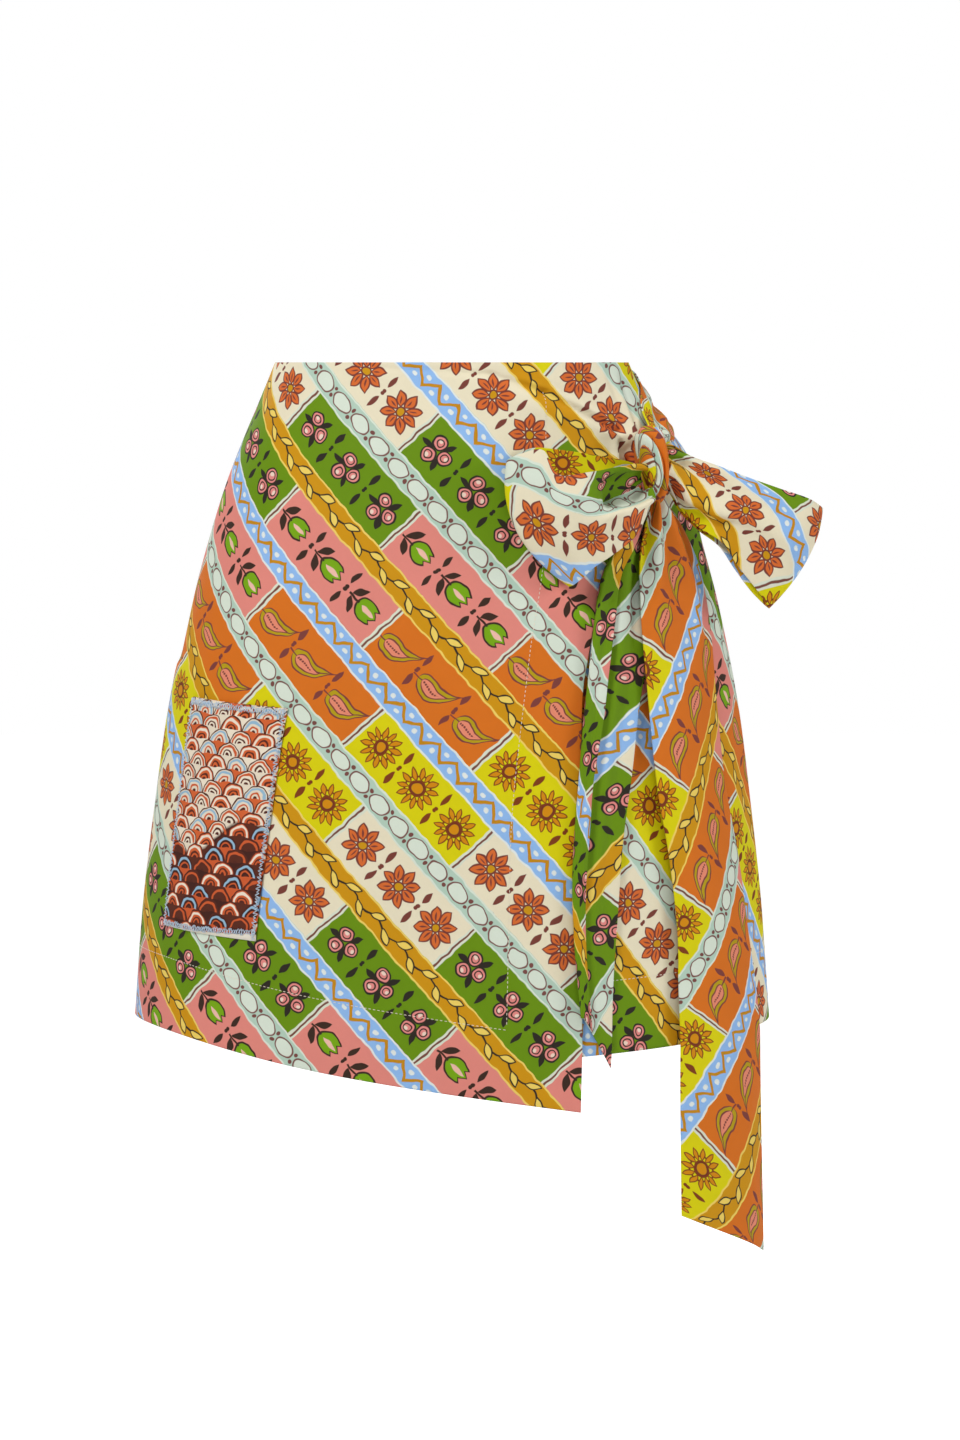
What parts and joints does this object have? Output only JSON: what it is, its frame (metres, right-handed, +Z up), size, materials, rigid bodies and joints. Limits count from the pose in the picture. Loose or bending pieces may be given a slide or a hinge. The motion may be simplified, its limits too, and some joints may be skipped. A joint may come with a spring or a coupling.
{
  "type": "wrap skirt",
  "caption": "Short wrap skirt with a slanting front hem, tied at the left hip in a bow with hanging tails, with a rectangular patch sewn on the front.",
  "frame": {"origin": "middle of the waist opening, level with the top edge of the cloth, where the wearer's waist holds the skirt up", "axes": "+Z up along the body, -Y to the wearer's front, +X to the wearer's left, the side of the bow"},
  "size_m": [0.4888, 0.3224, 0.6227],
  "materials": {
    "front_overlap": "printed cotton",
    "front_underlay": "printed cotton",
    "back_panel": "printed cotton",
    "patch": "printed cotton, stitched edge",
    "bow_loop_left": "printed cotton",
    "bow_loop_right": "printed cotton",
    "bow_knot": "printed cotton",
    "tail_long": "printed cotton",
    "tail_short": "printed cotton",
    "back_tie": "printed cotton"
  },
  "bodies": {
    "root": {"front_overlap": "front_overlap", "front_underlay": "front_underlay", "back_panel": "back_panel", "patch": "patch", "bow_loop_left": "bow_loop_left", "bow_loop_right": "bow_loop_right", "bow_knot": "bow_knot", "tail_long": "tail_long", "tail_short": "tail_short", "back_tie": "back_tie"}
  },
  "joints": []
}
